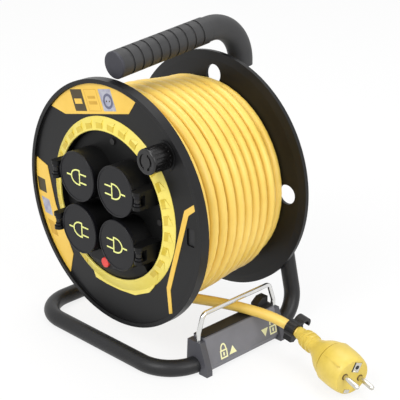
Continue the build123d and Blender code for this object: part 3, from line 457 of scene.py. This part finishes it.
on_cone = Matrix((
    (cos(CONE), 0, sin(CONE), CONE_R * MM),
    (sin(CONE), 0, -cos(CONE), (RIM_Y - CONE_OUT) * MM),
    (0, 1, 0, 0),
    (0, 0, 0, 1),
))
# the facets' flanks carry the painted shade; their points keep the ring's own yellow
for name, corners, kept, material in (
    ("trim_facet", [(0.0, -4.9), (5.0, -3.6), (5.6, 4.4), (0.2, 4.0)], (1, 2), ring_facet_shade),
    ("trim_point", [(5.0, -3.6), (9.6, -4.6), (5.6, 4.4)], (0, 2), ring_abs),
):
    wedge = facet_wedge(name, corners, kept)
    facets = []
    for number in range(FACETS):
        turn = 360 / FACETS * (number + 0.5)
        if BARE_FROM < turn < BARE_TO:
            continue
        facet = copied(wedge, f"{name}_{number}")
        facet.data.transform(Matrix.Rotation(-radians(turn), 4, "Y") @ on_cone)
        facets.append(facet)
    bpy.data.objects.remove(wedge)
    placed(joined(f"{name}s", facets), Matrix.Translation((0, 0, AXLE_Z * MM)), material, "drum")

# ---- Label prints --------------------------------------------------------------------------------
LABEL_FACE = RIM_Y + 2.6


def slanted(along, down, width, height):
    """Slanted panel of the top label, from its upper left corner."""
    right, fall = Vector((0.976, 0.218)), Vector((0.39, -0.92))
    start = Vector((-57.0, 100.0)) + right * along + fall * down
    return [tuple(v) for v in (start, start + fall * height, start + fall * height + right * width,
                               start + right * width)]


on_label = facing_front(0, LABEL_FACE, AXLE_Z)
for name, corners, material, stroke, lift in (
    ("print_dark_panel", slanted(0, 0, 17, 21), label_dark, 0, 0.06),
    ("print_dark_window", slanted(2.5, 9, 11, 5), label_vinyl, 0, 0.09),
    ("print_light_panel", slanted(20.5, 0, 18, 21), label_line, 0.5, 0.06),
    ("print_light_bar_1", slanted(23.5, 6.5, 11, 2.6), label_line, 0, 0.06),
    ("print_light_bar_2", slanted(23.5, 11.5, 12, 3.2), label_line, 0, 0.06),
    ("print_grey_panel", slanted(42, 0, 17.5, 21), label_grey, 0, 0.06),
    ("print_socket_disc", arc(-2.0, 100.6, 6.8, 7.4, 0, 345, 23), label_slate, 0, 0.09),
    ("print_socket_well", arc(-2.0, 100.6, 4.3, 4.8, 0, 345, 23), label_grey, 0, 0.12),
    ("print_pin_a", arc(-4.0, 100.2, 0.9, 0.9, 0, 330, 11), label_dark, 0, 0.15),
    ("print_pin_b", arc(0.2, 101.1, 0.9, 0.9, 0, 330, 11), label_dark, 0, 0.15),
):
    placed(drawn(name, corners, lift, stroke), on_label, material, "drum")

for name, corners, material, lift in (
    ("print_left_panel_1", [(-115, -2), (-103, -3), (-101, -17), (-113, -16)], label_dark, 0.06),
    ("print_left_panel_2", [(-110, -22), (-98, -23), (-93, -39), (-105, -38)], label_grey, 0.06),
    ("print_left_panel_3", [(-102, -44), (-92, -45), (-86, -59), (-96, -58)], label_line, 0.06),
):
    placed(drawn(name, corners, lift), on_label, material, "drum")

# ---- Socket plate: the reset panel falls away towards the ring -----------------------------------
PANEL_BREAK = 60.0      # radius from which the panel slopes
PANEL_FALL = 8.4 / 11.6                 # its depth at the ring over the width of the slope
dish_plate = copied(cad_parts["socket_plate"], "dish_plate")
only(dish_plate)
bpy.ops.object.mode_set(mode="EDIT")
bpy.ops.mesh.select_all(action="SELECT")
bpy.ops.mesh.remove_doubles(threshold=WELD)
for level in range(-52, -69, -4):       # cuts that give the slope its corners
    bpy.ops.mesh.select_all(action="SELECT")
    bpy.ops.mesh.bisect(plane_co=(0, 0, (AXLE_Z + level) * MM), plane_no=(0, 0, 1))
for across in range(-24, 33, 8):
    bpy.ops.mesh.select_all(action="SELECT")
    bpy.ops.mesh.bisect(plane_co=(across * MM, 0, 0), plane_no=(1, 0, 0))
bpy.ops.object.mode_set(mode="OBJECT")
for corner in dish_plate.data.vertices:
    reach = Vector((corner.co.x, corner.co.z - AXLE_Z * MM)).length / MM
    if reach > PANEL_BREAK and corner.co.y < (RIM_Y - 3) * MM:
        corner.co.y += (reach - PANEL_BREAK) * PANEL_FALL * MM
placed(dish_plate, Matrix.Identity(4), dark_abs, "drum")
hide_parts("socket_plate")

# short curved slot beside the button, a thin dark sheet of painted shade
slot_shade = drawn("reset_slot_painted_shade", arc(0, 0, 59.4, 59.4, -82, -75.5, 6)
                  + arc(0, 0, 58.0, 58.0, -75.5, -82, 6), 0.08)
placed(slot_shade, facing_front(0, RIM_Y - 8.5, AXLE_Z), soft_black_and_shade, "drum")

# ---- Front flange: a dark cap closes its window, painted shade of the hollow behind --------------
window_shade = drawn("window_painted_shade", bar(-4.72, -8.47, 9.44, 16.94), 4.6)
placed(window_shade, facing_front(104.0, RIM_Y + 9.4, AXLE_Z - 1.5), soft_black_and_shade, "drum")

# ---- Plug: moulded body and cap on one axis, rolled a little to its right ------------------------
SEAM = 46.0             # distances from the cord's end to the cap and to the face
PLUG_FACE = 74.0
PIN_SIDE = 9.5          # half of the 19 mm between the pins
PLUG_WAY = Vector((0.968, -0.2, -8.8 / PLUG_FACE)).normalized()
level_side = Vector((0.2, 0.968, 0)).normalized()
square_up = PLUG_WAY.cross(level_side)
roll = radians(21)
plug_side = level_side * cos(roll) - square_up * sin(roll)
plug_up = square_up * cos(roll) + level_side * sin(roll)


def on_axes(start, along, side, up):
    """Local X, Y and Z laid along three directions from a start in millimetres."""
    turned_to = Matrix((along, side, up)).transposed().to_4x4()
    return Matrix.Translation(start * MM) @ turned_to


on_plug = on_axes(Vector(PLUG_START), PLUG_WAY, plug_side, plug_up)
boot = turned("plug_boot", [
    (-7.0, 5.6), (-3.0, 6.1), (2.6, 6.5), (3.6, 8.3), (5.8, 8.9), (6.3, 7.9), (8.2, 7.9),
    (8.8, 9.2), (11.2, 9.3), (11.7, 8.1), (13.6, 8.1), (14.2, 9.2), (16.8, 9.0), (17.4, 7.9),
    (20.6, 8.0), (24.6, 9.0),
], 48)
shell = turned("plug_shell", [
    (23.6, 8.6), (24.2, 9.4), (26.0, 10.1), (28.5, 11.2), (31.0, 12.8), (34.0, 14.6), (37.0, 16.1),
    (40.0, 17.2), (43.0, 18.1), (SEAM - 0.8, 18.6), (SEAM - 0.4, 17.6), (SEAM - 0.3, 15.5),
], 64)
crown = turned("plug_crown", [
    (SEAM - 0.35, 15.5), (SEAM + 0.7, 18.2), (SEAM + 0.8, 19.6), (SEAM + 1.6, 20.0), (58.0, 20.0),
    (64.0, 19.7), (69.0, 19.0), (PLUG_FACE - 1.4, 18.0), (PLUG_FACE, 16.9),
], 64)
for piece, node in ((boot, "plug_relief"), (shell, "plug_body"), (crown, "plug_cap")):
    placed(piece, on_plug, plug_pvc, "frame")
    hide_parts(node)

# raised edge of the flat on the cap's left side
edge_bar = drawn("plug_flat_edge", bar(SEAM + 1.8, -0.6, 23.0, 1.2), 20.3)
to_left = Matrix.Rotation(radians(66), 4, "X")
placed(edge_bar, on_plug @ to_left, plug_pvc, "frame")

prongs = []
mouths = []
for side in (-PIN_SIDE, PIN_SIDE):
    prong = turned("prong", [(PLUG_FACE - 1, 2.4), (PLUG_FACE + 16.6, 2.4), (PLUG_FACE + 18.2, 1.9),
                             (PLUG_FACE + 19, 0.9)], 24)
    prong.data.transform(Matrix.Translation((0, side * MM, 0)))
    prongs.append(prong)
    mouth = turned("mouth", [(PLUG_FACE - 0.2, 3.3), (PLUG_FACE + 0.12, 3.3)], 28)
    mouth.data.transform(Matrix.Translation((0, side * MM, 0)))
    mouths.append(mouth)
plug_prongs = placed(joined("plug_prongs", prongs), on_plug, nickel, "frame")
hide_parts("plug_pins")
# dark discs round the pins: painted shade of their mouths
placed(joined("plug_mouths", mouths), on_plug, plug_shade, "frame")

# drawing plane on the plug's face: x to its side, y up, thickness out along the pins
on_face = on_plug @ Matrix(((0, 0, 1, PLUG_FACE * MM), (1, 0, 0, 0), (0, 1, 0, 0), (0, 0, 0, 1)))
plate = drawn("earth_plate", bar(-3.5, 5.5, 7.0, 9.6), 0.7)
foot = drawn("earth_foot", bar(-3.2, -16.2, 6.4, 3.6), 0.5)
earth_plates = placed(joined("earth_plates", [plate, foot]), on_face, nickel, "frame")
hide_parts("plug_earth_clip")
# painted shade: dark strips beside the earth plate and a dark disc on its eye
shade = [
    drawn("shade_strip_left", bar(-4.3, 5.2, 0.8, 10.2), 0.12),
    drawn("shade_strip_right", bar(3.5, 5.2, 0.8, 10.2), 0.12),
    drawn("plate_eye", arc(0, 10.4, 2.1, 2.1, 0, 340, 17), 0.76),
]
placed(joined("earth_plates_painted_shade", shade), on_face, soft_black_and_shade, "frame")

# ---- Clip on the cord beside the plug: ring round the cord, open jaw and finger ------------------
CLIP_MIDDLE = Vector((145.2, 14.6, 31.55))
CLIP_WIDTH = 10
clip_way = Vector((13.7, 0.6, -2.7)).normalized()
clip_side = Vector((0, 0, 1)).cross(clip_way).normalized()
clip_up = clip_way.cross(clip_side)
on_clip = on_axes(CLIP_MIDDLE - clip_way * CLIP_WIDTH / 2, clip_side, clip_up, clip_way)
clip_ring = drawn("clip_ring", arc(0, 0, 8.2, 8.2, 0, 345, 23), CLIP_WIDTH, 2.9)
clip_jaw = drawn("clip_jaw", arc(11.6, 2.6, 7.4, 6.6, -35, 250, 20)
                 + arc(11.6, 2.6, 4.6, 3.9, 250, -35, 20), CLIP_WIDTH)
clip_finger = drawn("clip_finger", [(-6.6, -4.0), (-6.8, -10.6), (-1.2, -12.4), (2.0, -10.0),
                                    (1.6, -5.6)], 9)
cable_clip = placed(joined("cable_clip", [clip_ring, clip_jaw, clip_finger]), on_clip, black_abs,
                    "frame")
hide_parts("cord_clip")

# ---- Guide: padlock and arrow signs on its slanted outer face ------------------------------------
outward = Vector((27.6, 0, 5.9)).normalized()
up_face = Vector((-5.9, 0, 27.6)).normalized()
# drawing plane from the foot of the face: its x to the back, its y up the slope
on_guide = Matrix((
    (0, up_face.x, outward.x, 110.83 * MM),
    (1, 0, 0, 0),
    (0, up_face.z, outward.z, 7.0 * MM),
    (0, 0, 0, 1),
))
INK_T = 0.12            # thickness of the signs' ink


def padlock(prefix, y, foot, open_shackle):
    """Padlock sign: a body with a keyhole, and its shackle, swung up when open."""
    body = drawn(f"{prefix}_body", bar(y - 4.6, foot, 9.2, 8.6), INK_T, 1.5)
    lift = 1.6 if open_shackle else 0.0
    outer = arc(y, foot + 9.0 + lift, 3.9, 5.9, -10, 190, 14)
    inner = arc(y, foot + 9.0 + lift, 2.4, 4.4, 190, -10, 14)
    shackle = drawn(f"{prefix}_shackle", outer + inner, INK_T)
    placed(joined(f"{prefix}_padlock", [body, shackle]), on_guide, sign_pale, "frame")
    hole = drawn(f"{prefix}_keyhole", arc(y, foot + 4.3, 1.1, 2.0, 0, 330, 11), INK_T)
    placed(hole, on_guide, sign_pale, "frame")


padlock("closed", -41.5, 2.0, False)
padlock("open", 25.6, 2.4, True)
placed(drawn("arrow_up", [(-35.0, 2.9), (-25.2, 2.9), (-29.6, 10.6)], INK_T), on_guide, sign_pale,
       "frame")
placed(drawn("arrow_down", [(9.8, 11.4), (14.4, 3.4), (19.0, 11.4)], INK_T), on_guide, sign_pale,
       "frame")

# ---- Floor, light and surroundings ---------------------------------------------------------------
FLOOR_WHITE = 0.82      # share of pure white where the floor is seen, so that it keeps the shadow
AMBIENT = 0.55          # strength of the surroundings' light on the object
FLOOR_SIZE = 8.0        # metres
LAMP_AIM = Vector((0, 0, 0.14))         # metres, as the lamps' size and places
LAMP_SIZE = 1.2


def seen_directly(tree):
    """1 on rays from the camera or off metal and glass, and 0 on rays that only light the object."""
    rays = add(tree, "ShaderNodeLightPath").outputs
    mirrored = add(tree, "ShaderNodeMath", {0: rays["Is Camera Ray"], 1: rays["Is Glossy Ray"]},
                   operation="MAXIMUM")
    through = add(tree, "ShaderNodeMath", {0: mirrored.outputs[0], 1: rays["Is Transmission Ray"]},
                  operation="MAXIMUM")
    return through.outputs[0]


bpy.ops.object.select_all(action="DESELECT")
bpy.ops.mesh.primitive_plane_add(size=FLOOR_SIZE)
floor = bpy.context.object
floor.name = "studio_floor"
floor_white = bpy.data.materials.new("studio_white")
floor_white.use_nodes = True
tree = floor_white.node_tree
tree.nodes.clear()
share = add(tree, "ShaderNodeMath", {0: seen_directly(tree), 1: FLOOR_WHITE}, operation="MULTIPLY")
matt = add(tree, "ShaderNodeBsdfDiffuse", {"Color": (0.9, 0.9, 0.9, 1)})
bright = add(tree, "ShaderNodeEmission", {"Color": (1, 1, 1, 1), "Strength": 1.0})
blend = add(tree, "ShaderNodeMixShader", {0: share.outputs[0], 1: matt.outputs[0],
                                          2: bright.outputs[0]})
add(tree, "ShaderNodeOutputMaterial", {"Surface": blend.outputs[0]})
floor.data.materials.append(floor_white)

world = bpy.data.worlds.new("studio_world")
scene.world = world
world.use_nodes = True
tree = world.node_tree
tree.nodes.clear()
strength = add(tree, "ShaderNodeMapRange", {"Value": seen_directly(tree), "To Min": AMBIENT,
                                            "To Max": 1.0})
sky = add(tree, "ShaderNodeBackground", {"Color": (1, 1, 1, 1),
                                         "Strength": strength.outputs["Result"]})
add(tree, "ShaderNodeOutputWorld", {"Surface": sky.outputs[0]})


def soft_lamp(name, spot, power):
    """Square soft box at the spot, aimed at the drum."""
    lamp = bpy.data.lights.new(name, "AREA")
    lamp.shape = "SQUARE"
    lamp.size = LAMP_SIZE
    lamp.energy = power
    made = bpy.data.objects.new(name, lamp)
    scene.collection.objects.link(made)
    made.location = spot
    made.rotation_euler = (LAMP_AIM - Vector(spot)).to_track_quat("-Z", "Y").to_euler()


soft_lamp("key_lamp", (0.2, -1.9, 1.7), 29)
soft_lamp("side_lamp", (2.0, -0.1, 1.2), 19)
soft_lamp("top_lamp", (-0.3, 0.5, 2.2), 17)

scene.view_settings.view_transform = "Standard"
